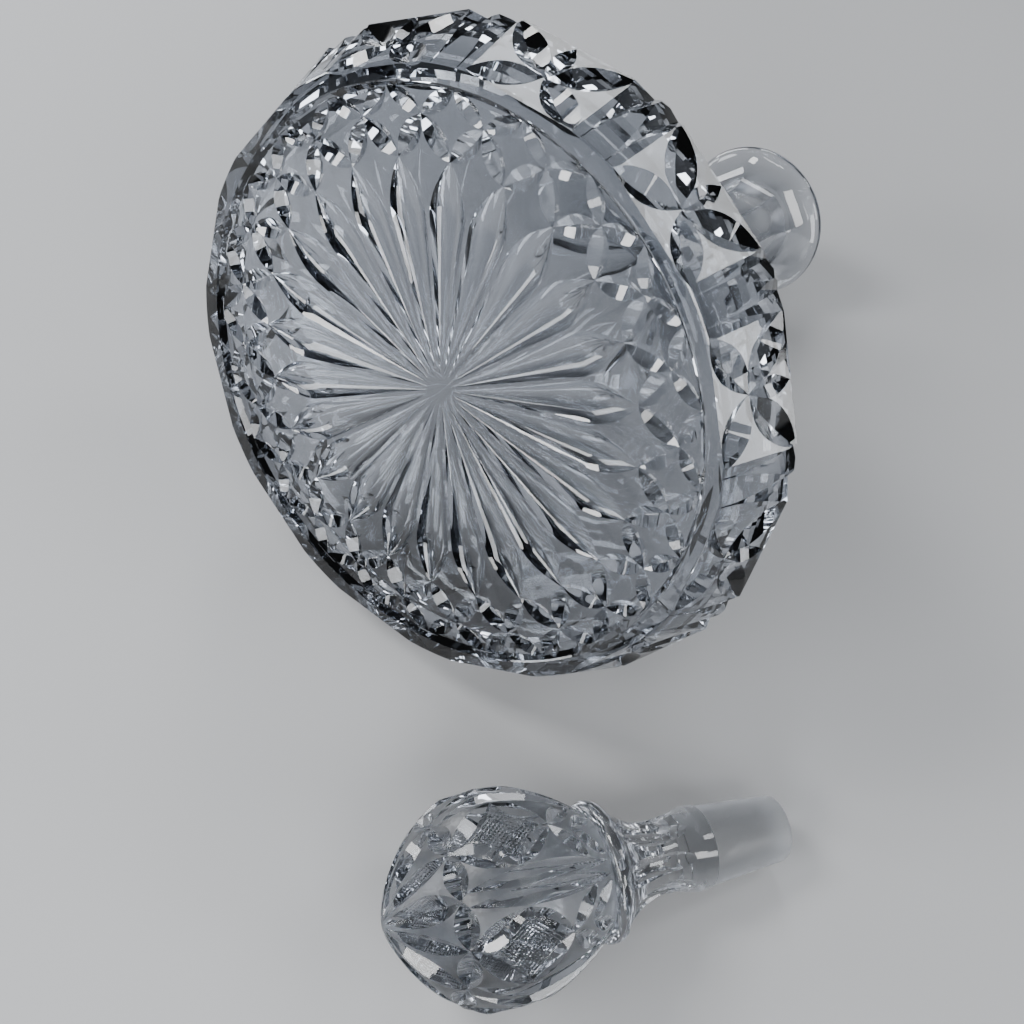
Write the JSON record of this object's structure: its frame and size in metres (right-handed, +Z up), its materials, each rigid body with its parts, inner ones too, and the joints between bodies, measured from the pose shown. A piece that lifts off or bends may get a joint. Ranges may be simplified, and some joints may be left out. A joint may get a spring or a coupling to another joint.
{
  "type": "wine decanter",
  "caption": "Broad-based cut crystal decanter with faceted neck and flared lip, lying on its side, and its ground glass stopper lying beside it.",
  "frame": {"origin": "middle of the pair's footprint, on the surface that both pieces lie on", "axes": "+Z up from that surface, +Y along the decanter from its foot towards its neck, +X towards the side where the stopper lies"},
  "size_m": [0.2323, 0.2932, 0.1738],
  "materials": {
    "crystal": "clear cut crystal, polished, with a ground socket in the neck",
    "crystal_stopper": "clear cut crystal, polished, with a frosted ground plug"
  },
  "bodies": {
    "decanter": {"decanter": "crystal"},
    "stopper": {"stopper": "crystal_stopper"}
  },
  "joints": [
    {"name": "stopper_lift", "type": "slide", "parent": "decanter", "child": "stopper", "axis": [0, 0, 1], "range_m": [0, 0.2]}
  ]
}
